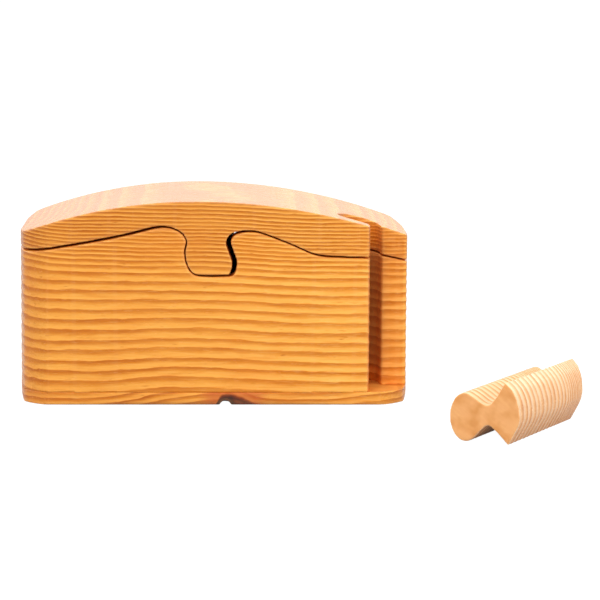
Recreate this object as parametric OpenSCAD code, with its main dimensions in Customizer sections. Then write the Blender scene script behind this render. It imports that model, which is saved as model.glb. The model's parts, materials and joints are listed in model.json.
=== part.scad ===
// Bandsawn wooden puzzle box. One block of softwood is cut into a body with a
// hollow, a lid with a wavy tabbed seam, and a corner key; a thin base slab is
// glued back under the body. The lid slides front to back along its tab. The
// key drops into the corner keyway from above and locks it. Here the lid is
// closed, and the key is out, lying on the table beside the box.
// X runs to the right, Y to the back, Z up; the origin is on the table, at the
// middle of the box's underside. Millimetres.

/* [Box] */
// Width of the box at the middle of its depth
box_w = 180; // [160:1:220]
// Depth of the box, front to back
box_d = 100; // [85:1:130]
// Height of the box at the crown of its arched top
box_h = 93; // [85:0.5:120]
// Radius of the two upright corners in front
corner_r = 22.5; // [20:0.5:25]
// Radius of the two upright corners at the back
back_corner_r = 12; // [8:0.5:20]
// How far the front and back faces bow out between the box's corners
face_bow = 2; // [1:0.25:4]
// How far the side faces bow out between the box's corners
side_bow = 5; // [3:0.25:6]
// How far the left face leans in at the height of the crown
left_lean = 1.2; // [0.5:0.1:3]

/* [Arched top] */
// Radius of the arch left of its crown
arch_left_r = 220; // [200:5:400]
// Radius of the arch right of its crown
arch_right_r = 275; // [230:5:450]
// How far the crown sits left of the middle
crown_left = 8; // [0:0.5:16]
// Radius where the arch rolls over into the side faces
roll_r = 2.5; // [1.5:0.5:5]

/* [Base slab] */
// Thickness of the slab glued back under the body
slab_t = 6; // [4:0.25:10]
// Radius of the slab's lower edge
foot_r = 2.5; // [1:0.25:3.5]

/* [Hollow] */
// Wall left around the hollow
wall = 13; // [9:0.5:18]
// Radius of the hollow's upright corners
hollow_r = 14; // [8:0.5:20]
// Wood left between the hollow and the keyway's bulb
keyway_wall = 8; // [5:0.5:14]

/* [Seam] */
// Width of the saw cut that parts lid, key and body
kerf = 1.2; // [1.1:0.1:1.8]
// How far the seam is below the crown at the left side
seam_drop_left = 22.5; // [20:0.5:27]
// How far the seam is below the crown at the right side
seam_drop_right = 29.5; // [26:0.5:34]
// How far the left crest of the seam is below the crown
crest_drop_left = 11.5; // [10:0.5:14]
// How far the right crest of the seam is below the crown
crest_drop_right = 13.3; // [12:0.5:16]
// How far the right trough of the seam is below the crown
trough_drop = 25; // [22:0.5:28]
// How far the saw led to the right on its way to the back, in degrees
saw_lead = 1.5; // [0:0.1:2]
// Where the middle of the tab is, left of the middle of the box
tab_left = 0.5; // [0:0.1:8]
// Width of the tab at its foot
tab_w = 22.4; // [19:0.2:28]
// How far the foot of the tab is below the crown
tab_drop = 33.5; // [31:0.5:38]
// How much narrower the tab's throat is than its foot
tab_nip = 1.4; // [0.6:0.1:2.4]
// Size of the rounds at the tab's foot
tab_round = 6; // [5:0.25:7]
// Size of the rounds over the tab's throat
shoulder = 6; // [5:0.25:7]
// From the tab's left side to the seam's left crest
crest_left_out = 11.5; // [10:0.5:14]
// From the tab's right side to the seam's right crest
crest_right_out = 6; // [5:0.25:8]
// From the seam's right crest to its trough
trough_out = 43; // [40:0.5:48]
// How far the lid has settled to the left in its saw cut
lid_slack_x = 0.85; // [0.3:0.05:0.85]
// How far the lid has settled down in its saw cut
lid_slack_z = 0.35; // [0.1:0.05:0.4]

/* [Key] */
// Width of the key's bulb, across the key
bulb_w = 21; // [17:0.5:23]
// Thickness of the key's bulb, along the key's section
bulb_t = 14.3; // [12:0.1:16]
// Width of the key's neck
neck_w = 8.9; // [7.5:0.1:11]
// From the middle of the bulb to the middle of the neck
neck_out = 9.8; // [9:0.1:10.5]
// How far the neck is nearer the front than the bulb's middle
neck_shift = 1.5; // [0.5:0.1:2]
// From the middle of the bulb to the front point of the flare
flare_front = 16.9; // [15:0.1:18]
// From the middle of the bulb to the back point of the flare
flare_back = 8.9; // [7.5:0.1:10]
// From the middle of the bulb to where the flare's points begin
flare_out = 18.3; // [17.5:0.1:19.5]
// From the right side of the box to the middle of the bulb
bulb_in_x = 23.9; // [23:0.1:26]
// From the front of the box to the middle of the bulb
bulb_in_y = 25.1; // [24:0.1:28]
// Angle between the box's right direction and the key's, towards the front
key_angle = 36; // [32:1:40]

/* [Loose key] */
// Where the near end of the key touches the table, right of the middle
lie_x = 105.6; // [103:0.2:130]
// Where the near end of the key touches the table, in front of the middle
lie_y = 135.2; // [130:0.2:170]
// Angle of the lying key to the box's depth
lie_angle = 29.8; // [15:0.2:40]

/* [Hidden] */
over = 4;                    // how far a cutting shape runs past the wood
curve_steps = 5;             // straight steps between two points of a cut
$fn = 96;

wood_body = [0.93, 0.62, 0.29];
wood_lid = [0.96, 0.68, 0.36];
wood_slab = [0.91, 0.58, 0.26];
wood_key = [0.98, 0.75, 0.49];

half_w = box_w / 2;
half_d = box_d / 2;
crown_x = -crown_left;

// Radius of a bow that is 2 * half long and rise high
function bow_r(half, rise) = (half * half + rise * rise) / (2 * rise);

face_r = bow_r(half_w, face_bow);
side_r = bow_r(half_d, side_bow);

// ---- Curves -------------------------------------------------------------

// A point of the smooth curve through b and c, steered by a and d
function curve_point(a, b, c, d, t) =
    ((2 * b) + (c - a) * t + (2 * a - 5 * b + 4 * c - d) * t * t
     + (3 * b - a - 3 * c + d) * t * t * t) / 2;

// The smooth curve through p; its first and last points only steer it
function curve(p) = concat(
    [for (i = [1 : len(p) - 3], j = [0 : curve_steps - 1])
        curve_point(p[i - 1], p[i], p[i + 1], p[i + 2], j / curve_steps)],
    [p[len(p) - 2]]);

// Unit vector to the left of the way the line p runs, at its point i
function left_of(p, i) =
    let (way = p[min(i + 1, len(p) - 1)] - p[max(i - 1, 0)])
    [-way[1], way[0]] / norm(way);

// The line p moved to its left by dist
function beside(p, dist) = [for (i = [0 : len(p) - 1]) p[i] + dist * left_of(p, i)];

function moved(p, by) = [for (q = p) q + by];

// ---- The block before it is sawn ----------------------------------------

function arch_r(side) = side < 0 ? arch_left_r : arch_right_r;

// Middle of the small round between the arch and a side face
function roll_centre(side) =
    let (x = side * (half_w - roll_r), r = arch_r(side),
         rise = sqrt(pow(r - roll_r, 2) - pow(x - crown_x, 2)))
    [x, box_h - r + rise];

// What the small round leaves of the corner between arch and side face
module roll_cutter(side) {
    c = roll_centre(side);
    out = 3 * roll_r;
    along = (c - [crown_x, box_h - arch_r(side)]) / (arch_r(side) - roll_r);
    difference() {
        polygon([c, c + [side * out, 0], c + [side * out, out], c + out * along]);
        translate(c) circle(r = roll_r);
    }
}

module arch_half(side) {
    intersection() {
        translate([side < 0 ? -half_w : crown_x, 0])
            square([side < 0 ? half_w + crown_x : half_w - crown_x, box_h]);
        translate([crown_x, box_h - arch_r(side)]) circle(r = arch_r(side), $fn = 360);
    }
}

// Outline of the block seen from the front
module front_outline() {
    difference() {
        union() {
            arch_half(-1);
            arch_half(1);
        }
        roll_cutter(-1);
        roll_cutter(1);
        polygon([[-half_w, 0], [left_lean - half_w, box_h], [-half_w - over, box_h]]);
        foot_cutter(-half_w, 1);
        foot_cutter(half_w, -1);
    }
}

// What a round lower edge leaves of a square corner at x
module foot_cutter(x, way) {
    difference() {
        translate([min(x, x + way * foot_r), 0]) square(foot_r);
        translate([x + way * foot_r, foot_r]) circle(r = foot_r);
    }
}

// Outline of the block seen from the side
module side_outline() {
    difference() {
        translate([-half_d, 0]) square([box_d, box_h]);
        foot_cutter(-half_d, 1);
        foot_cutter(half_d, -1);
    }
}

// A rectangle with corners of radius front_r at low Y and back_r at high Y
module rounded_rectangle(w, d, front_r, back_r) {
    r = max(front_r, back_r);
    square([w - 2 * r, d], center = true);
    translate([-w / 2, front_r - d / 2]) square([w, d - front_r - back_r]);
    for (x = [-1, 1]) {
        translate([x * (w / 2 - front_r), front_r - d / 2]) circle(r = front_r);
        translate([x * (w / 2 - back_r), d / 2 - back_r]) circle(r = back_r);
    }
    translate([back_r - w / 2, d / 2 - r]) square([w - 2 * back_r, r]);
}

// Outline of the block seen from above, with its four faces bowed
module plan_outline() {
    intersection() {
        rounded_rectangle(box_w, box_d, corner_r, back_corner_r);
        translate([0, face_r - half_d]) circle(r = face_r, $fn = 360);
        translate([0, half_d - face_r]) circle(r = face_r, $fn = 360);
        translate([side_r - half_w, 0]) circle(r = side_r, $fn = 360);
        translate([half_w - side_r, 0]) circle(r = side_r, $fn = 360);
    }
}

// The whole block, before the saw
module block() {
    intersection() {
        linear_extrude(height = box_h) plan_outline();
        rotate([90, 0, 0])
            linear_extrude(height = box_d + over, center = true) front_outline();
        rotate([90, 0, 90])
            linear_extrude(height = box_w + over, center = true) side_outline();
    }
}

// ---- The seam between lid and body --------------------------------------

// The saw's way across the front, from left to right: x, and how far below
// the crown
function seam_way() =
    let (heel = -tab_left - tab_w / 2, toe = -tab_left + tab_w / 2,
         crest_l = heel - crest_left_out, crest_r = toe + crest_right_out,
         trough = crest_r + trough_out, left_run = crest_l + half_w)
    [
        [-half_w - 2 * over, seam_drop_left],
        [-half_w - over, seam_drop_left],
        [-half_w + 0.15 * left_run, seam_drop_left],
        [crest_l - 0.5 * left_run, 0.66 * seam_drop_left + 0.34 * crest_drop_left],
        [crest_l - 0.23 * left_run, 0.33 * seam_drop_left + 0.67 * crest_drop_left],
        [crest_l, crest_drop_left],
        [heel - 0.5 * shoulder, crest_drop_left + 0.27 * shoulder],
        [heel + 0.5 * tab_nip, crest_drop_left + shoulder],
        [heel, (crest_drop_left + tab_drop) / 2],
        [heel + 0.5 * tab_nip, tab_drop - tab_round],
        [heel + 0.5 * tab_round, tab_drop - 0.27 * tab_round],
        [heel + 1.2 * tab_round, tab_drop],
        [toe - 0.67 * tab_round, tab_drop],
        [toe - 0.18 * tab_round, tab_drop - 0.17 * tab_round],
        [toe, tab_drop - tab_round],
        [toe - tab_nip, crest_drop_right + 1.6 * shoulder],
        [toe - 2 * tab_nip, crest_drop_right + 0.83 * shoulder],
        [toe - 0.7 * tab_nip, crest_drop_right + 0.27 * shoulder],
        [crest_r - 0.6 * shoulder, crest_drop_right + 0.07 * shoulder],
        [crest_r, crest_drop_right],
        [crest_r + shoulder, crest_drop_right + 0.13 * shoulder],
        [crest_r + 0.45 * trough_out, (crest_drop_right + trough_drop) / 2],
        [trough - 0.28 * trough_out, 0.09 * crest_drop_right + 0.91 * trough_drop],
        [trough, trough_drop],
        [trough + 0.26 * trough_out, 0.9 * trough_drop + 0.1 * seam_drop_right],
        [half_w - shoulder, 0.36 * trough_drop + 0.64 * seam_drop_right],
        [half_w + over, seam_drop_right + over / 4],
        [half_w + 2 * over, seam_drop_right + over / 2]
    ];

function seam() = [for (p = curve(seam_way())) [p[0], box_h - p[1]]];

// Everything under the seam, or over it, as seen from the front
module side_of_seam(edge, z) {
    polygon(concat(edge, [[half_w + over, z], [-half_w - over, z]]));
}

module through_depth() {
    rotate([90, 0, -saw_lead])
        linear_extrude(height = box_d + 2 * over, center = true) children();
}

module below_seam() {
    through_depth() side_of_seam(beside(seam(), -kerf / 2), -over);
}

module above_seam() {
    edge = moved(beside(seam(), kerf / 2), [-lid_slack_x, -lid_slack_z]);
    through_depth() side_of_seam(edge, box_h + over);
}

// ---- The key and its keyway ---------------------------------------------

// The saw's way round the key, from its front point by the bulb to its back
// point: x out towards the box's corner, y towards the front, from the bulb
function key_way() =
    let (a = bulb_t / 2, b = bulb_w / 2,
         neck_front = neck_shift + neck_w / 2, neck_back = neck_shift - neck_w / 2,
         slope = 1.8, past = 2 * over)
    concat(
        [[flare_out + 2 * past, flare_front + 2 * past * slope],
         [flare_out + past, flare_front + past * slope],
         [flare_out, flare_front],
         [(flare_out + neck_out) / 2, (flare_front + 2 * neck_front) / 3],
         [neck_out, neck_front]],
        [for (t = [60 : 30 : 300]) [a * cos(t), b * sin(t)]],
        [[neck_out, neck_back],
         [(flare_out + neck_out) / 2, (neck_back * 2 - flare_back) / 3],
         [flare_out, -flare_back],
         [flare_out + past, -flare_back - past],
         [flare_out + 2 * past, -flare_back - 2 * past]]);

// The way of the saw, dist outside the key, as a closed outline
function key_outline(dist) = beside(curve(key_way()), -dist);

// From the box's frame to the keyway's corner, and back
module at_keyway() {
    translate([half_w - bulb_in_x, bulb_in_y - half_d]) rotate([0, 0, -key_angle])
        mirror([0, 1, 0]) children();
}

module key_prism(dist, z) {
    translate([0, 0, z]) linear_extrude(height = box_h + over - z)
        at_keyway() polygon(key_outline(dist));
}

module keyway() {
    key_prism(kerf, slab_t);
}

// A point of the keyway's frame, in the box's plan
function in_plan(p) =
    [half_w - bulb_in_x + p[0] * cos(key_angle) - p[1] * sin(key_angle),
     bulb_in_y - half_d - p[0] * sin(key_angle) - p[1] * cos(key_angle)];

// Is q, of the front right quarter of the plan, inside the box?
function inside(q) =
    let (c = [half_w - corner_r, corner_r - half_d])
    norm(q - [half_w - side_r, 0]) <= side_r && norm(q - [0, face_r - half_d]) <= face_r
    && (q[0] < c[0] || q[1] > c[1] || norm(q - c) <= corner_r);

// Where the way from p, inside the box, to q leaves it; q if it doesn't
function way_out(p, q, n = 24) =
    let (m = (p + q) / 2)
    n == 0 ? m : inside(in_plan(m)) ? way_out(m, q, n - 1) : way_out(p, m, n - 1);

// How far below the middle of its bulb the lying key reaches
function key_low() =
    let (k = key_outline(0))
    -min([for (i = [0 : len(k) - 2])
        if (inside(in_plan(k[i]))) min(k[i][1], way_out(k[i], k[i + 1])[1])]);

// From the key's place in the box to its place on the table
module laid_down() {
    translate([lie_x, -lie_y, key_low()]) rotate([0, 0, -lie_angle]) rotate([-90, 0, 0])
        rotate([0, 0, key_angle])
            translate([bulb_in_x - half_w, half_d - bulb_in_y, -slab_t]) children();
}

// ---- The pieces ---------------------------------------------------------

module hollow() {
    right = half_w - bulb_in_x - bulb_w / 2 - kerf - keyway_wall;
    left = wall - half_w;
    translate([(left + right) / 2, 0, -over])
        linear_extrude(height = box_h + 2 * over)
            rounded_rectangle(right - left, box_d - 2 * wall, hollow_r, hollow_r);
}

module base_slab() {
    color(wood_slab) intersection() {
        block();
        translate([-half_w, -half_d, 0]) cube([box_w, box_d, slab_t]);
    }
}

module body_block() {
    color(wood_body) difference() {
        intersection() {
            block();
            below_seam();
            translate([-half_w, -half_d, slab_t]) cube([box_w, box_d, box_h]);
        }
        hollow();
        keyway();
    }
}

module lid() {
    color(wood_lid) difference() {
        intersection() {
            block();
            above_seam();
        }
        keyway();
    }
}

module key() {
    color(wood_key) laid_down() intersection() {
        block();
        key_prism(0, slab_t);
    }
}

base_slab();
body_block();
lid();
key();
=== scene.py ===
import json
import math
from collections import namedtuple

import bpy
import numpy as np
from mathutils import Matrix, Vector


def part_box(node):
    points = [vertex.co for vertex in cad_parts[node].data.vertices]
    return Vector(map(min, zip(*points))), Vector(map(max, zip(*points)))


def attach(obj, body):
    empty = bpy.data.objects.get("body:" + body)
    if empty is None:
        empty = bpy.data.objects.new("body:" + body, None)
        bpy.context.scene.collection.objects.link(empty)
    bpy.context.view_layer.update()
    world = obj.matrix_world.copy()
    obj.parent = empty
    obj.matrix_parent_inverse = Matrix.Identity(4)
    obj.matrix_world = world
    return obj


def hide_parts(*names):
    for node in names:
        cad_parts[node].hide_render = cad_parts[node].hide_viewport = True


# Looks of the wooden puzzle box. Lengths in the helpers are millimetres, in the
# block's own frame: the box as it stands, and the key as it sits in its keyway.
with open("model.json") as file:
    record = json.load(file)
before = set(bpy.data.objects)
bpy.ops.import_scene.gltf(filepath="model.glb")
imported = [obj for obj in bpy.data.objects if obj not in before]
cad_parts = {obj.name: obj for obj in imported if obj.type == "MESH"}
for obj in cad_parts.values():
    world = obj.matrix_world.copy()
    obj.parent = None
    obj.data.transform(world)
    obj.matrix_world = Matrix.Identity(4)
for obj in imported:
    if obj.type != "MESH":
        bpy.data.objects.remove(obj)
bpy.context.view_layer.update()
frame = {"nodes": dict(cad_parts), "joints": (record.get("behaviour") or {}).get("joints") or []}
MM = 1000
COARSER = 1.0       # how much coarser than given the meshes are built; 1 builds them as given

# ---- The block, as in the CAD -------------------------------------------

body_low, body_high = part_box("body_block")
HALF_X = body_high.x * MM
HALF_Y = body_high.y * MM
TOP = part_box("lid")[1].z * MM
GLUE = body_low.z * MM       # height of the glue line between slab and body
FACE_BOW, SIDE_BOW = 2.0, 5.0
FRONT_CORNER, BACK_CORNER = 22.5, 12.0
CROWN, ARCH_LEFT, ARCH_RIGHT = -8.0, 220.0, 275.0
# The keyway: its bulb's middle from the box's right side and front, its turn and its radius
BULB_IN_X, BULB_IN_Y, KEY_ANGLE, BULB_R = 23.9, 25.1, 36.0, 10.5
FAR = 1000.0                 # a depth that no point of the block has

# ---- The wood -----------------------------------------------------------

# The rings are wide low in the block and fine high up, as a tree grows slower with age
LOWEST_RING = -3.0
WIDE_RING, FINE_RING = 4.3, 1.75
SLOWED_FROM, SLOWED_OVER = 52.0, 18.0      # where the rings turn from wide to fine
CORE_EXTRA, CORE_REACH = 1.0, 12.0         # how much wider the lowest rings are still
UNEVEN = 0.12                # how far a ring's width strays from the rule, as a share
FULL_RELIEF = 4.0            # a ring this wide or wider stands out in full relief
# The slab's rings don't run on from the body's, as if it was glued back the other way up
SLAB_RING = 3.2
# The dark knot in the slab's front: its peak, its reach to either side and its height
KNOT_AT, KNOT_LEFT, KNOT_RIGHT, KNOT_HEIGHT = 5.6, 5.0, 14.4, 5.9
KNOT_DEPTH, KNOT_FADE = 14.0, 30.0         # how far the knot runs in, and fades out over
HALO_AT, HALO_REACH = 9.0, 9.0             # the reddened wood on both sides of the knot
CHIP_AT = np.array([5.0, -50.5, 0.1])      # middle of the piece that fell out of the knot
CHIP_SIZE = np.array([2.3, 12.0, 2.3])     # half its width, depth and height

SANDED = 0.5                 # how softly the corners run into the bows
# How far smoothing moves a point that lies on a sharp edge, and one on an edge that is fully lightened,
# partly as wear and partly as a painted highlight
CREASE, FULL_EDGE_MOVE = 0.012, 0.05
GLUE_FLAT, GLUE_FADE = 0.6, 1.2            # kept exact this near the glue line, then fading out
SAWN_DEPTH = 1.2             # about how deep under the outside a face counts as sawn
DEEP_FROM, DEEP_OVER = 8.0, 10.0           # how deep under the outside the painted shade in the keyway starts and how it grows; on the key the same marks its end's darker middle
NARROW, NARROW_OVER = 1.6, 2.6             # a ring's width at which it counts as narrow
PAINTED_LIGHT_FROM, PAINTED_LIGHT_OVER = -50.0, 120.0      # the stretch over which the wood is painted paler towards the right, as if lit more from there
INSET, GRAIN = 0.04, 0.025                 # how far all points lie in, and the grain's waves


def smooth(t):
    t = np.clip(t, 0, 1)
    return t * t * (3 - 2 * t)


def waves(p, sizes, seed):
    """Slow uneven waves from -1 to 1, about as long as sizes in x, y and z."""
    rng = np.random.default_rng(seed)
    out = np.zeros(len(p))
    for _ in range(6):
        way = rng.uniform(0.5, 1.6, 3) * rng.choice([-1, 1], 3)
        out += np.sin(p @ (way * 2 * math.pi / np.array(sizes)) + rng.uniform(0, 6.28))
    return out / 6


def bow_r(half, rise):
    """Radius of a bow that is 2 * half long and rise high."""
    return (half * half + rise * rise) / (2 * rise)


def under_faces(p):
    """How deep p lies under the block's bowed faces and under its round corners."""
    x, y, _ = p.T
    face_r = bow_r(HALF_X, FACE_BOW)
    side_r = bow_r(HALF_Y, SIDE_BOW)
    corner = np.where(y < 0, FRONT_CORNER, BACK_CORNER)
    cx = np.abs(x) - HALF_X + corner
    cy = np.abs(y) - HALF_Y + corner
    return np.array([
        face_r - np.hypot(x, np.abs(y) - HALF_Y + face_r),
        side_r - np.hypot(np.abs(x) - HALF_X + side_r, y),
        np.where((cx > -2) & (cy > -2), corner - np.hypot(cx, cy), FAR)])


def under_surface(p):
    """How deep p lies under the block's outside, before it was sawn."""
    x, _, z = p.T
    arch = np.where(x < CROWN, ARCH_LEFT, ARCH_RIGHT)
    top = arch - np.hypot(x - CROWN, z - TOP + arch)
    return np.minimum(np.minimum(under_faces(p).min(axis=0), top), z)


def sanding(p):
    """How much sanding took off where a corner runs into a bowed face."""
    depths = under_faces(p)
    over = depths - depths.min(axis=0)
    return SANDED * np.log(np.exp(-over / SANDED).sum(axis=0))


def ring_heights():
    """Heights of the dark late wood lines, a little left of the middle of the front."""
    rng = np.random.default_rng(7)
    heights = [LOWEST_RING]
    while heights[-1] < TOP + 2:
        z = heights[-1]
        slowed = smooth((z - SLOWED_FROM) / SLOWED_OVER)
        width = WIDE_RING + (FINE_RING - WIDE_RING) * slowed + CORE_EXTRA * math.exp(-z / CORE_REACH)
        heights.append(z + width * rng.uniform(1 - UNEVEN, 1 + UNEVEN))
    return np.array(heights)


RINGS = ring_heights()


def slab_rise(x):
    """How high the slab's grain rides at x: over the knot, and again at the right end."""
    left = 9.4 * smooth((x + 62) / 67)
    right = 3.0 + 6.4 * np.exp(-((x - 5) / 11) ** 2)
    return np.where(x < 5, left, right) + 3.3 * smooth((x - 48) / 46)


def knot_top(x):
    """How high the knot reaches at x: steep on its left, long on its right."""
    left = ((KNOT_AT - x) / KNOT_LEFT).clip(0) ** 3
    right = ((x - KNOT_AT) / KNOT_RIGHT).clip(0) ** 1.8
    return KNOT_HEIGHT * (1 - left - right)


def bend(p):
    """How much higher a ring lies at p than a little left of the middle of the front."""
    x, y, z = p.T
    # The rings sink towards both ends, and high up they rise again in the left corner
    left = np.clip(-2.2 + 0.055 * (z - 12), -2.2, 0.6) * smooth((-20 - x) / 35)
    right = -2.4 * smooth((x + 10) / 60)
    corner = 1.4 * smooth((z - 50) / 20) * smooth((-62 - x) / 24)
    # Near the ends they also climb or fall towards the back
    tilt = 0.09 * smooth((-52 - x) / 26) - 0.06 * smooth((x - 52) / 20)
    return left + right + corner + tilt * 30 * np.tanh((y + HALF_Y) / 30)


def ring_number(p, slab):
    """Which ring p lies in, as a number that runs on through each ring."""
    x, _, z = p.T
    if slab:
        w = z - slab_rise(x) + 0.35 * waves(p, (45, 60, 30), 5)
        return 4 + w / SLAB_RING
    w = z - bend(p) + 0.22 * waves(p, (60, 90, 40), 3) + 0.1 * waves(p, (14, 30, 18), 4)
    return np.interp(w, RINGS, np.arange(len(RINGS)))


def ring_width(number, slab):
    if slab:
        return np.full(len(number), SLAB_RING)
    steps = np.diff(RINGS)
    return steps[np.clip(number.astype(int), 0, len(steps) - 1)]


def ridge(number):
    """1 on the hard late wood, 0 in the soft early wood between."""
    f = number - np.floor(number)
    rise = smooth((f - 0.55) / 0.38)
    fall = 1 - smooth(f / 0.22)
    return np.maximum(rise, fall)


# ---- Meshes -------------------------------------------------------------

def coordinates(me):
    co = np.empty(len(me.vertices) * 3, np.float32)
    me.vertices.foreach_get("co", co)
    return co.reshape(-1, 3).astype(float) * MM


def normals_of(me):
    n = np.empty(len(me.vertices) * 3, np.float32)
    me.vertex_normals.foreach_get("vector", n)
    return n.reshape(-1, 3).astype(float)


def edges_of(me):
    edges = np.empty(len(me.edges) * 2, np.int32)
    me.edges.foreach_get("vertices", edges)
    return edges.reshape(-1, 2)


def write(me, co):
    me.vertices.foreach_set("co", (co / MM).astype(np.float32).ravel())
    me.update()


def store(me, name, values):
    """Stores one number, or one vector, for each point."""
    kind, key = ("FLOAT", "value") if values.ndim == 1 else ("FLOAT_VECTOR", "vector")
    at = me.attributes.new(name, kind, "POINT")
    at.data.foreach_set(key, values.astype(np.float32).ravel())


def relaxed(co, edges, rounds, share=0.5):
    """The points after each has moved towards the middle of its neighbours, rounds times."""
    a, b = edges.T
    n = len(co)
    count = np.bincount(a, minlength=n) + np.bincount(b, minlength=n)
    for _ in range(rounds):
        mean = np.stack([
            np.bincount(a, column[b], n) + np.bincount(b, column[a], n) for column in co.T
        ], 1) / count[:, None]
        co = co + share * (mean - co)
    return co


def moved_by(co, edges, rounds, spread):
    """How far smoothing moves each point, spread over its neighbours: large on an edge."""
    moved = np.linalg.norm(relaxed(co, edges, rounds) - co, axis=1)
    return relaxed(moved[:, None], edges, spread)[:, 0]


def eased(raw, edges, rounds):
    """The points with eased edges, and with the CAD's faint creases rounded off."""
    co = relaxed(raw, edges, rounds)
    sharp = smooth(moved_by(co, edges, 3, 6) / CREASE - 0.3)
    return relaxed(co, edges, 12, 0.5 * (1 - sharp[:, None]))


def fine_mesh(ob, voxel, cutter):
    """The object's mesh, cut by cutter and rebuilt from small even faces."""
    if cutter:
        cut = ob.modifiers.new("chip", "BOOLEAN")
        cut.operation = "DIFFERENCE"
        cut.solver = "EXACT"
        cut.object = cutter
    grid = ob.modifiers.new("grid", "REMESH")
    grid.mode = "VOXEL"
    grid.voxel_size = voxel * COARSER / MM
    grid.use_smooth_shade = True
    depsgraph = bpy.context.evaluated_depsgraph_get()
    fine = bpy.data.meshes.new_from_object(ob.evaluated_get(depsgraph))
    ob.modifiers.clear()
    return fine


def key_home():
    """The turn and the place of the lying key: home = (here - place) @ turn + keyway."""
    tip = next(joint for joint in frame["joints"] if joint["name"] == "key_tip")
    x, y, _ = tip["pos_m"]
    lie = math.atan2(tip["axis"][1], tip["axis"][0])
    turn = Matrix.Rotation(lie, 3, "Z") @ Matrix.Rotation(math.radians(-90), 3, "X")
    turn = turn @ Matrix.Rotation(math.radians(KEY_ANGLE), 3, "Z")
    return np.array(turn), np.array([x * MM, y * MM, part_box("key")[0].z * MM + BULB_R])


def at_home(node, co, normal):
    """The points and normals in the block's own frame."""
    if node != "key":
        return co, normal
    turn, place = key_home()
    keyway = [HALF_X - BULB_IN_X, BULB_IN_Y - HALF_Y, GLUE]
    return (co - place) @ turn + keyway, normal @ turn


def piece(node, voxel, rounds, depth, cutter=None):
    """A finely meshed copy of a CAD node with eased edges and growth rings in relief."""
    ob = bpy.data.objects.new(node + "_wood", frame["nodes"][node].data.copy())
    bpy.context.scene.collection.objects.link(ob)
    fine = fine_mesh(ob, voxel, cutter)
    ob.data = fine
    slab = node == "base_slab"
    raw = coordinates(fine)
    edges = edges_of(fine)
    co = eased(raw, edges, rounds)
    # Slab and body meet in a tight glue line, where nothing is eased or in relief
    glued = np.zeros(len(raw))
    if node in ("base_slab", "body_block"):
        glued = 1 - smooth((np.abs(raw[:, 2] - GLUE) - GLUE_FLAT) / GLUE_FADE)
    co += glued[:, None] * (raw - co)
    write(fine, co)
    # How much the colour is lightened along the eased edges: partly wear, partly a painted highlight
    edge = smooth(moved_by(co, edges, 2, 2) / FULL_EDGE_MOVE) * (1 - glued)

    normal = normals_of(fine)
    home, home_normal = at_home(node, co, normal)
    depth_in = under_surface(home)
    side = smooth(np.hypot(home_normal[:, 0], home_normal[:, 1]) * 1.6 - 0.3)
    sawn = smooth(depth_in / SAWN_DEPTH - 0.6)
    # Painted shade deep in the keyway, on the upright walls only; on the key the same value marks its
    # end's middle
    deep = smooth((depth_in - DEEP_FROM) / DEEP_OVER)
    if node != "key":
        deep *= side

    number = ring_number(home, slab)
    width = ring_width(number, slab)
    relief = depth * np.minimum(1, width / FULL_RELIEF) * side * (1 - 0.5 * sawn) * (1 - glued)
    drop = relief * (1 - ridge(number))
    grain = GRAIN * waves(home, (9, 3.1, 2.3), 8) + GRAIN * waves(home, (23, 17, 6), 9)
    sanded = sanding(home) * side * (1 - sawn)
    co = co - normal * (drop + sanded + np.clip(INSET + grain, 0, 1))[:, None]
    if slab:
        co[:, 2] = np.maximum(co[:, 2], 0)
    write(fine, co)

    store(fine, "ring", number)
    store(fine, "narrow", 1 - smooth((width - NARROW) / NARROW_OVER))
    store(fine, "home", home / MM)
    store(fine, "end", home_normal[:, 0] ** 2)
    store(fine, "flat", 1 - side)
    store(fine, "edge", edge)
    store(fine, "sawn", sawn)
    store(fine, "deep", deep)
    # Painted light: the wood grows paler towards the right, as if lit more from there
    store(fine, "painted_light", smooth((home[:, 0] - PAINTED_LIGHT_FROM) / PAINTED_LIGHT_OVER))
    fine.polygons.foreach_set("use_smooth", np.ones(len(fine.polygons), bool))
    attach(ob, {"lid": "lid", "key": "key"}.get(node, "box"))
    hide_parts(node)
    return ob


def chip_cutter():
    """The lumpy piece of the knot that fell out of the slab's lower front edge."""
    bpy.ops.mesh.primitive_ico_sphere_add(subdivisions=4, radius=1)
    hole = bpy.context.object
    lump = coordinates(hole.data) / MM
    size = 1 + 0.13 * waves(lump * 10, (9, 9, 9), 12) + 0.08 * waves(lump * 10, (4, 4, 4), 13)
    write(hole.data, lump * size[:, None] * CHIP_SIZE + CHIP_AT)
    return hole


def mark_knot(me):
    """Marks the knot in the slab's front, the reddened wood by it and its dark bark."""
    home = coordinates(me)
    x, y, z = home.T
    z = z + 0.35 * waves(home, (5, 40, 4), 21)
    fade = 1 - smooth((y + HALF_Y - KNOT_DEPTH) / KNOT_FADE)
    inside = smooth((knot_top(x) - z) / 1.2)
    halo = 1 - smooth((np.abs(x - HALO_AT) - HALO_REACH) / HALO_REACH)
    chip_x = (x - CHIP_AT[0]) / CHIP_SIZE[0]
    chip_z = (z - CHIP_AT[2]) / CHIP_SIZE[2]
    around = np.exp(-((np.hypot(chip_x, chip_z) - 1.45) / 0.45) ** 2)
    streak = np.exp(-((z - 3.6 + 0.34 * (x - 8)) / 0.7) ** 2)
    streak *= smooth((x - 5) / 3) * smooth((17 - x) / 4)
    store(me, "knot", inside * fade)
    store(me, "halo", halo * fade)
    store(me, "bark", np.clip(around + 0.8 * streak, 0, 1) * inside * fade)


# ---- Shading ------------------------------------------------------------

def srgb(r, g, b):
    return [(c / 255 / 12.92 if c <= 10 else ((c / 255 + 0.055) / 1.055) ** 2.4)
            for c in (r, g, b)] + [1.0]


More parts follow.
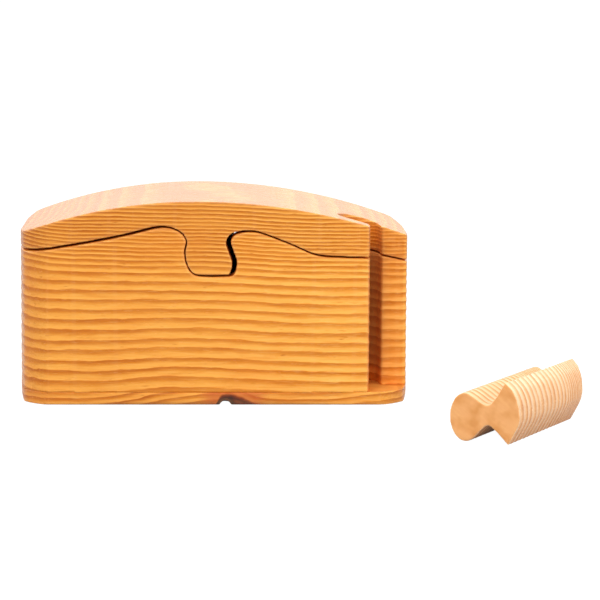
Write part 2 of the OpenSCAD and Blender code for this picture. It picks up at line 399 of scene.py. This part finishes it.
class Shading:
    """Adds nodes to a material's or the world's node tree, one short call for each."""

    def __init__(self, tree):
        self.tree = tree

    def add(self, kind, **values):
        node = self.tree.nodes.new("ShaderNode" + kind)
        for name, value in values.items():
            if name in node.inputs:
                node.inputs[name].default_value = value
            else:
                setattr(node, name, value)
        return node

    def feed(self, socket, value):
        """Links value to the socket if it is another node's output, and else sets it."""
        if isinstance(value, bpy.types.NodeSocket):
            self.tree.links.new(value, socket)
        else:
            socket.default_value = value

    def maths(self, operation, a, b=None, clamp=False):
        node = self.add("Math", operation=operation, use_clamp=clamp)
        self.feed(node.inputs[0], a)
        if b is not None:
            self.feed(node.inputs[1], b)
        return node.outputs[0]

    def plus(self, a, b, clamp=False):
        return self.maths("ADD", a, b, clamp)

    def minus(self, a, b, clamp=False):
        return self.maths("SUBTRACT", a, b, clamp)

    def times(self, a, b, clamp=False):
        return self.maths("MULTIPLY", a, b, clamp)

    def mix(self, share, a, b, blend="MIX"):
        node = self.add("Mix", data_type="RGBA", blend_type=blend)
        self.feed(node.inputs[0], share)
        self.feed(node.inputs[6], a)
        self.feed(node.inputs[7], b)
        return node.outputs[2]

    def attribute(self, name, out="Fac"):
        return self.add("Attribute", attribute_name=name).outputs[out]

    def noise(self, pattern):
        mapping = self.add("Mapping", Scale=pattern.stretch)
        self.feed(mapping.inputs["Vector"], self.attribute("home", "Vector"))
        node = self.add("TexNoise", Scale=pattern.scale, Detail=pattern.detail,
                        Roughness=pattern.roughness)
        self.feed(node.inputs["Vector"], mapping.outputs[0])
        return node.outputs["Fac"]

    def wander(self, pattern):
        """The pattern's noise to both sides of its level, times its strength."""
        return self.times(self.minus(self.noise(pattern), pattern.level), pattern.strength)

    def above(self, noise, level, strength, mask=1.0):
        """How far the noise is over the level, times mask and strength, from 0 to 1."""
        over = self.times(self.minus(noise, level, clamp=True), mask)
        return self.times(over, strength, clamp=True)

    def showing(self, pattern, mask=1.0):
        """Where the pattern's noise is over its level, from 0 to 1."""
        return self.above(self.noise(pattern), pattern.level, pattern.strength, mask)


# The wood's patterns: how the noise is stretched in x, y and z, its scale, detail and
# roughness, the level over which it shows and how strongly
Pattern = namedtuple("Pattern", "stretch scale detail roughness level strength",
                     defaults=(0.5, 1.0))
JITTER = Pattern((0.2, 0.6, 1.0), 330, 3.0, 0.55, strength=0.5)
DRIFT = Pattern((0.3, 1.0, 1.0), 130, 2.0, 0.55, strength=1.1)
FIBRES = Pattern((0.05, 0.9, 1.0), 2400, 4.0, 0.65, strength=1.1)
STREAKS = Pattern((0.06, 0.4, 1.0), 760, 2.0, 0.5, strength=1.7)
FLECKS = Pattern((0.16, 0.8, 1.0), 900, 2.0, 0.5, level=0.66, strength=6.0)
PATCHES = Pattern((0.6, 1.0, 1.0), 55, 2.0, 0.55, strength=1.1)
BLOTCHES = Pattern((1.0, 1.0, 1.0), 150, 2.0, 0.45, level=0.42)
KNOT_GRAIN = Pattern((1.0, 0.2, 0.35), 900, 2.0, 0.55)
RUBBED = Pattern((0.2, 1.0, 1.0), 700, 3.0, 0.55, strength=0.12)
PALE_FIBRES_BELOW, PALE_FIBRES_STRENGTH = 0.48, 1.5
# How much the dark part of a ring grows in narrow rings and on sawn faces, and how much
# whole rings differ in tone
NARROW_BOLD, SAWN_BOLD, RING_TONE = 0.48, 0.3, 0.26
# How strongly each of these colours covers the wood where it lies
END_SHARE, HEART_SHARE, KEYWAY_SHADE_SHARE, WORN_AND_HIGHLIGHT_SHARE = 0.4, 0.55, 0.55, 0.14
HALO_SHARE, KNOT_SHARE, BARK_SHARE = 0.75, 0.95, 0.9
# Roughness of the rubbed outside, and what a sawn face adds to it
ROUGH, SAWN_ROUGH = 0.2, 0.3

# A piece's colours: four tones across a ring, the tone of the faces along the rings, and how
# strongly those faces are evened out towards it and mottled
Tones = namedtuple("Tones", "early middle late dark flat evened mottled", defaults=(0.5, 1.3))
LEVEL = (238, 154, 54)
BODY_TONES = Tones((249, 172, 70), (234, 147, 44), (214, 122, 20), (198, 106, 8), LEVEL)
LID_TONES = Tones((244, 168, 68), (228, 142, 42), (206, 116, 18), (186, 96, 8), LEVEL)
SLAB_TONES = Tones((246, 166, 66), (230, 142, 42), (210, 118, 22), (190, 98, 10), LEVEL)
# The key is the same wood as the box; its paler tones are painted light, as if the key stood in
# brighter light
KEY_TONES = Tones((253, 206, 150), (246, 188, 120), (232, 158, 88), (212, 130, 60), (232, 145, 60),
                  evened=0.72, mottled=4.0)
PALE_FIBRE = (255, 198, 112)
WORN_AND_HIGHLIGHT = (255, 206, 140)       # the eased edges painted lighter, partly as wear and partly as a painted highlight
KEYWAY_SHADE = (150, 106, 64)        # painted shade deep in the keyway
HEART = (222, 138, 76)       # the key's end, over its bulb
REDDENED, KNOT_LIGHT, KNOT_DARK, BARK = (205, 98, 40), (150, 66, 30), (92, 38, 22), (52, 26, 18)
END = (236, 205, 180)        # tint of the faces across the grain
WARM = (1.0, 0.92, 0.85)     # the warm patches, as shares of the middle tone
# What the colour is multiplied by on the sawn faces, and the painted light that makes the wood paler
# towards the right end
SAWN_TINT = (0.96, 0.89, 0.97, 1)
PAINTED_RIGHT_LIGHT = (1.10, 1.22, 1.5, 1)
GLOSS_IOR = 1.45


def ringed(s, tones, sawn_bold):
    """The colour across the growth rings, each with its own tone."""
    ring = s.plus(s.attribute("ring"), s.wander(JITTER))
    # In narrow rings and on the sawn faces the dark part takes the larger share
    power = s.minus(1.0, s.times(s.attribute("narrow"), NARROW_BOLD))
    bold = s.times(s.attribute("sawn"), sawn_bold)
    power = s.minus(power, s.times(bold, power))
    ramp = s.add("ValToRGB")
    s.feed(ramp.inputs["Fac"], s.maths("POWER", s.maths("FRACT", ring), power))
    stops = ((0.04, tones.early), (0.42, tones.early), (0.58, tones.middle), (0.74, tones.late),
             (0.88, tones.dark), (0.97, tones.dark), (1.0, tones.late))
    elements = ramp.color_ramp.elements
    elements.remove(elements[1])
    elements[0].color = srgb(*tones.late)
    for at, tone in stops:
        elements.new(at).color = srgb(*tone)

    # Each ring has its own tone, and it changes along the grain
    whole = s.add("TexWhiteNoise", noise_dimensions="1D")
    s.feed(whole.inputs["W"], s.maths("FLOOR", s.plus(ring, 0.3)))
    tone = s.times(whole.outputs["Value"], RING_TONE)
    plain = srgb(*(0.55 * a + 0.45 * b for a, b in zip(tones.early, tones.middle)))
    colour = s.mix(s.plus(tone, s.wander(DRIFT), clamp=True), ramp.outputs["Color"], plain)
    return s.mix(s.times(s.attribute("flat"), tones.evened), colour, srgb(*tones.flat))


def grained(s, colour, tones, fibres):
    """The colour with fibres, streaks, darker flecks and broad warm patches."""
    late = srgb(*tones.late)
    dark_fibres = s.above(fibres, FIBRES.level, FIBRES.strength)
    colour = s.mix(dark_fibres, colour, late)
    pale_fibres = s.minus(PALE_FIBRES_BELOW, fibres, clamp=True)
    pale_fibres = s.times(pale_fibres, PALE_FIBRES_STRENGTH, clamp=True)
    colour = s.mix(pale_fibres, colour, srgb(*PALE_FIBRE))
    colour = s.mix(s.showing(STREAKS), colour, late)
    upright = s.minus(1.0, s.attribute("flat"))
    colour = s.mix(s.showing(FLECKS, upright), colour, srgb(*tones.dark))
    warm = srgb(*(c * k for c, k in zip(tones.middle, WARM)))
    return s.mix(s.showing(PATCHES), colour, warm)


def tinted_and_painted_light(s, colour, key):
    """The colour with end grain, with sawn faces and painted shade deep in the keyway (the key instead
    gets its end's darker middle), and with painted light that makes it paler towards the right.
    """
    colour = s.mix(s.times(s.attribute("end"), END_SHARE), colour, srgb(*END), "MULTIPLY")
    if key:
        heart = s.times(s.attribute("deep"), s.attribute("flat"))
        colour = s.mix(s.times(heart, HEART_SHARE), colour, srgb(*HEART))
    else:
        colour = s.mix(s.attribute("sawn"), colour, SAWN_TINT, "MULTIPLY")
        # Painted shade deep in the keyway, where little light reaches
        colour = s.mix(s.times(s.attribute("deep"), KEYWAY_SHADE_SHARE), colour, srgb(*KEYWAY_SHADE))
    # Painted light: paler towards the right, as if lit more from there
    return s.mix(s.attribute("painted_light"), colour, PAINTED_RIGHT_LIGHT, "MULTIPLY")


def knotted(s, colour):
    """The colour with the dark knot, its bark and the reddened wood by it."""
    colour = s.mix(s.times(s.attribute("halo"), HALO_SHARE), colour, srgb(*REDDENED))
    core = s.mix(s.noise(KNOT_GRAIN), srgb(*KNOT_LIGHT), srgb(*KNOT_DARK))
    colour = s.mix(s.times(s.attribute("knot"), KNOT_SHARE), colour, core)
    return s.mix(s.times(s.attribute("bark"), BARK_SHARE), colour, srgb(*BARK))


def wood(name, tones, key=False, knot=False):
    """Softwood with dark late wood lines."""
    mat = bpy.data.materials.new(name)
    mat.use_nodes = True
    s = Shading(mat.node_tree)
    fibres = s.noise(FIBRES)
    colour = ringed(s, tones, 0.0 if key else SAWN_BOLD)
    colour = grained(s, colour, tones, fibres)
    colour = tinted_and_painted_light(s, colour, key)
    if knot:
        colour = knotted(s, colour)
    # The eased edges are lighter: partly wear, partly a painted highlight
    colour = s.mix(s.times(s.attribute("edge"), WORN_AND_HIGHLIGHT_SHARE), colour, srgb(*WORN_AND_HIGHLIGHT))
    # The flat cuts along the rings are mottled
    blotches = s.above(s.noise(BLOTCHES), BLOTCHES.level, tones.mottled, s.attribute("flat"))
    colour = s.mix(blotches, colour, srgb(*tones.late))

    # The outside is rubbed to a soft gloss, the sawn faces are dull
    gloss = s.plus(s.times(s.noise(RUBBED), RUBBED.strength), ROUGH)
    rough = s.plus(gloss, s.times(s.attribute("sawn"), SAWN_ROUGH))
    bump = s.add("Bump", Strength=0.4, Distance=0.00012)
    s.feed(bump.inputs["Height"], fibres)
    shader = mat.node_tree.nodes["Principled BSDF"]
    shader.inputs["IOR"].default_value = GLOSS_IOR
    s.feed(shader.inputs["Base Color"], colour)
    s.feed(shader.inputs["Roughness"], rough)
    s.feed(shader.inputs["Normal"], bump.outputs[0])
    return mat


def dress(ob, mat):
    ob.data.materials.clear()
    ob.data.materials.append(mat)


# ---- The pieces ---------------------------------------------------------

body = piece("body_block", voxel=0.5, rounds=3, depth=0.2)
lid = piece("lid", voxel=0.48, rounds=3, depth=0.18)
key = piece("key", voxel=0.36, rounds=5, depth=0.1)
hole = chip_cutter()
slab = piece("base_slab", voxel=0.5, rounds=4, depth=0.14, cutter=hole)
bpy.data.objects.remove(hole)
mark_knot(slab.data)

dress(body, wood("body_block_wood", BODY_TONES))
dress(lid, wood("lid_wood", LID_TONES))
dress(key, wood("key_wood", KEY_TONES, key=True))
dress(slab, wood("base_slab_wood", SLAB_TONES, knot=True))

# ---- Stage --------------------------------------------------------------

scene = bpy.context.scene
WORLD = 0.32                 # how bright the world is as a light; seen or mirrored it is white
FLOOR_GREY = 0.45            # what the floor throws back onto the wood
# To the camera the floor gives light of its own. GLOW times SHARE is a little past white,
# so the object's shadow doesn't show on it
FLOOR_GLOW, FLOOR_SHARE, FLOOR_MIRRORED = 1.45, 0.7, 0.25


def floor_material():
    mat = bpy.data.materials.new("floor_white")
    mat.use_nodes = True
    s = Shading(mat.node_tree)
    path = s.add("LightPath")
    mirrored = s.times(path.outputs["Is Glossy Ray"], FLOOR_MIRRORED)
    seen = s.plus(mirrored, path.outputs["Is Camera Ray"])
    glow = s.add("Emission", Strength=FLOOR_GLOW)
    blend = s.add("MixShader")
    shader = mat.node_tree.nodes["Principled BSDF"]
    shader.inputs["Base Color"].default_value = (FLOOR_GREY, FLOOR_GREY, FLOOR_GREY, 1)
    shader.inputs["Roughness"].default_value = 1.0
    shader.inputs["Specular IOR Level"].default_value = 0.0
    s.feed(blend.inputs[0], s.times(seen, FLOOR_SHARE))
    s.feed(blend.inputs[1], shader.outputs[0])
    s.feed(blend.inputs[2], glow.outputs[0])
    s.feed(mat.node_tree.nodes["Material Output"].inputs["Surface"], blend.outputs[0])
    return mat


def make_world():
    world = bpy.data.worlds.new("studio")
    world.use_nodes = True
    scene.world = world
    s = Shading(world.node_tree)
    path = s.add("LightPath")
    seen = s.maths("MAXIMUM", path.outputs["Is Camera Ray"], path.outputs["Is Glossy Ray"])
    seen = s.maths("MAXIMUM", seen, path.outputs["Is Transmission Ray"])
    back = world.node_tree.nodes["Background"]
    back.inputs["Color"].default_value = (1, 1, 1, 1)
    s.feed(back.inputs["Strength"], s.plus(s.times(seen, 1 - WORLD), WORLD))


def softbox(name, place, aim, width, height, watts, mirrored=True):
    """A lamp that the camera doesn't see, and that gloss shows only where mirrored."""
    lamp = bpy.data.lights.new(name, "AREA")
    lamp.shape = "RECTANGLE"
    lamp.size = width
    lamp.size_y = height
    lamp.energy = watts
    ob = bpy.data.objects.new(name, lamp)
    scene.collection.objects.link(ob)
    ob.location = place
    ob.rotation_euler = (Vector(aim) - Vector(place)).to_track_quat("-Z", "Y").to_euler()
    ob.visible_camera = False
    ob.visible_glossy = mirrored


bpy.ops.mesh.primitive_plane_add(size=80)
floor = bpy.context.object
floor.name = "floor"
dress(floor, floor_material())
make_world()
softbox("front_light", (-0.8, -2.1, 1.5), (0.0, 0, 0.05), 1.9, 1.6, 42, mirrored=False)
softbox("right_light", (1.4, -0.9, 0.7), (0.1, 0, 0.04), 1.0, 1.0, 13.5, mirrored=False)
softbox("left_light", (-1.5, 0.5, 0.8), (0.0, 0, 0.05), 1.0, 1.0, 5)
softbox("top_light", (-0.1, 0.25, 1.5), (0.0, 0, 0.05), 1.2, 1.0, 11)
softbox("back_light", (0.4, 1.7, 0.95), (0.0, 0, 0.05), 3.2, 1.2, 8.5)

# ---- Camera -------------------------------------------------------------

CAMERA_PLACE = (-0.0024, -1.224, 0.2121)
YAW, PITCH, ROLL = (math.radians(v) for v in (2.0, 7.93, 0.36))


def camera_turn():
    """The camera's axes: YAW to the right of +Y, PITCH down, and ROLL about its own aim."""
    ahead = Vector((math.sin(YAW) * math.cos(PITCH), math.cos(YAW) * math.cos(PITCH), -math.sin(PITCH)))
    level = Vector((math.cos(YAW), -math.sin(YAW), 0))
    upright = level.cross(ahead)
    right = math.cos(ROLL) * level + math.sin(ROLL) * upright
    up = math.cos(ROLL) * upright - math.sin(ROLL) * level
    return Matrix((right, up, -ahead)).transposed()


data = bpy.data.cameras.new("camera")
data.lens = 157.56
data.sensor_width = 36
data.clip_start = 0.05
data.clip_end = 30
camera = bpy.data.objects.new("camera", data)
scene.collection.objects.link(camera)
camera.matrix_world = Matrix.Translation(CAMERA_PLACE) @ camera_turn().to_4x4()
scene.camera = camera
scene.view_settings.view_transform = "Standard"
